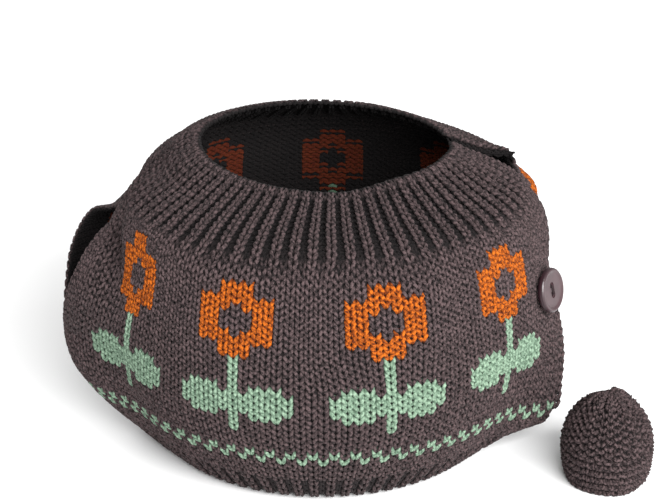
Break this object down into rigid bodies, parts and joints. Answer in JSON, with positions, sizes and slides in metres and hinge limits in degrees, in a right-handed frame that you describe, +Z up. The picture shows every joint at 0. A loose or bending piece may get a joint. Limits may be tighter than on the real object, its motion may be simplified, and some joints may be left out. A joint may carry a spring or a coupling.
{
  "type": "tea cosy",
  "caption": "Hand-knitted tea cosy with a floral colourwork band, open neck, spout hole, buttoned handle flap and a separate knitted cap for the lid's knob.",
  "frame": {"origin": "bottom centre of the box round the cosy and the knob cover, on the surface they stand on", "axes": "+X to the handle's side, -X to the spout, -Y to the front with the button, +Z up"},
  "size_m": [0.215, 0.1706, 0.1176],
  "materials": {
    "wool": "charcoal knitted wool, matt and slightly hairy",
    "button": "dark plum, satin gloss",
    "thread": "dark sewing thread, matt"
  },
  "bodies": {
    "root": {"front_panel": "wool", "back_panel": "wool", "button": "button", "button_thread": "thread", "knob_cover": "wool"}
  },
  "joints": []
}
